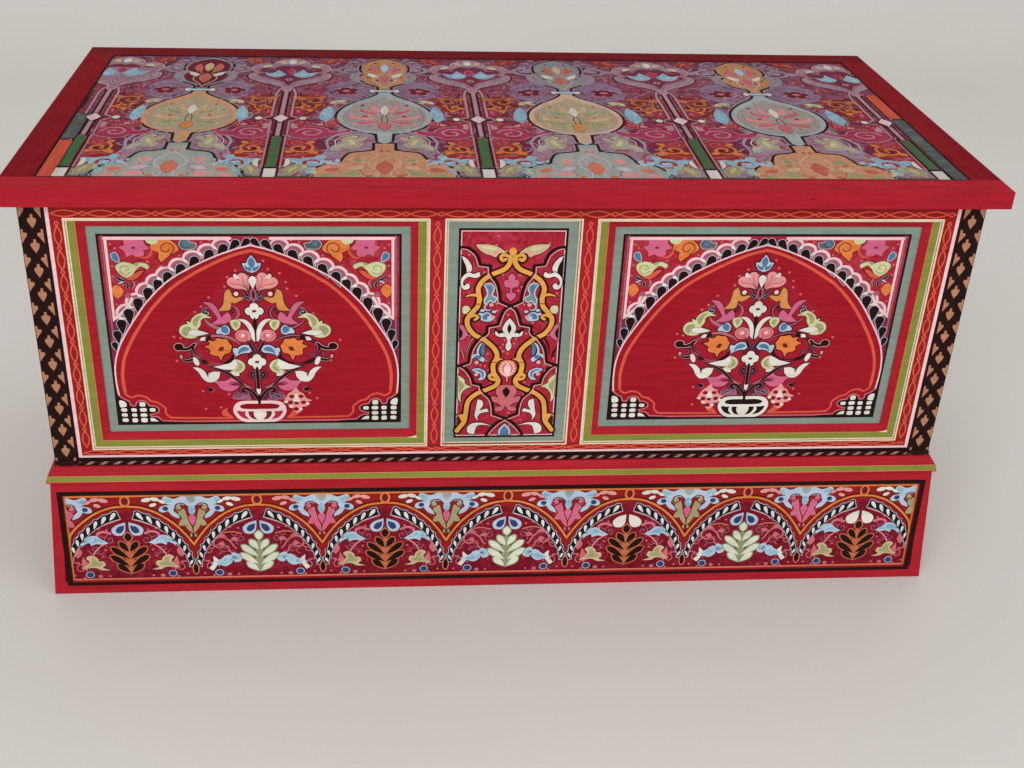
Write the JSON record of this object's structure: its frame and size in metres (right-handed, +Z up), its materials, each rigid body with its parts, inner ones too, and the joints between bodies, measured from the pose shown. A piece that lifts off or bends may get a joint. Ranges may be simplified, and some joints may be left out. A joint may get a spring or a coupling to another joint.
{
  "type": "painted dowry chest",
  "caption": "Painted wooden dowry chest with a flat hinged lid, framed arch panels and a splayed painted plinth.",
  "frame": {"origin": "on the floor, in the middle of the chest's outline", "axes": "+Z up, +X along the chest to the right as seen from the front, the painted front faces -Y"},
  "size_m": [1.2, 0.56, 0.59],
  "materials": {
    "red_paint": "satin",
    "lid_field_paint": "satin",
    "black_paint": "satin",
    "arch_panel_paint": "satin",
    "centre_panel_paint": "satin",
    "plinth_field_paint": "satin",
    "moulding_paint": "satin",
    "rope_paint": "satin",
    "bare_wood": "matte",
    "hinge_iron": "satin"
  },
  "bodies": {
    "carcass": {"back_bottom_rail": "red_paint", "back_left_panel": "red_paint", "back_muntin": "red_paint", "back_right_panel": "red_paint", "back_top_rail": "red_paint", "carcass_hinge_leaf_left": "hinge_iron", "carcass_hinge_leaf_right": "hinge_iron", "carcass_hinge_screws": "hinge_iron", "floor_board_centre": "bare_wood", "floor_board_left": "bare_wood", "floor_board_right": "bare_wood", "floor_cleats": "bare_wood", "front_bottom_rail": "red_paint", "front_centre_panel": "centre_panel_paint", "front_left_muntin": "red_paint", "front_left_panel": "arch_panel_paint", "front_left_panel_moulding": "red_paint", "front_right_muntin": "red_paint", "front_right_panel": "arch_panel_paint", "front_right_panel_moulding": "red_paint", "front_top_rail": "red_paint", "hinge_pins": "hinge_iron", "left_end_bottom_rail": "red_paint", "left_end_panel": "arch_panel_paint", "left_end_panel_moulding": "red_paint", "left_end_top_rail": "red_paint", "plinth_back_board": "red_paint", "plinth_bottom_border": "red_paint", "plinth_corner_blocks": "bare_wood", "plinth_front_board": "plinth_field_paint", "plinth_left_board": "red_paint", "plinth_left_border": "red_paint", "plinth_right_board": "red_paint", "plinth_right_border": "red_paint", "plinth_top_border": "red_paint", "post_back_left": "black_paint", "post_back_right": "black_paint", "post_front_left": "black_paint", "post_front_right": "black_paint", "right_end_bottom_rail": "red_paint", "right_end_panel": "arch_panel_paint", "right_end_panel_moulding": "red_paint", "right_end_top_rail": "red_paint", "rope_bead": "rope_paint", "waist_moulding_front": "moulding_paint", "waist_moulding_left": "moulding_paint", "waist_moulding_right": "moulding_paint"},
    "lid": {"lid_back_rail": "red_paint", "lid_batten_centre": "bare_wood", "lid_batten_left": "bare_wood", "lid_batten_right": "bare_wood", "lid_batten_screws": "hinge_iron", "lid_front_rail": "red_paint", "lid_hinge_leaf_left": "hinge_iron", "lid_hinge_leaf_right": "hinge_iron", "lid_hinge_screws": "hinge_iron", "lid_left_rail": "red_paint", "lid_panel": "lid_field_paint", "lid_right_rail": "red_paint"}
  },
  "joints": [
    {"name": "lid_hinge", "type": "hinge", "parent": "carcass", "child": "lid", "pos_m": [0, 0.2676, 0.568], "axis": [-1, 0, 0], "range_deg": [0, 95]}
  ]
}
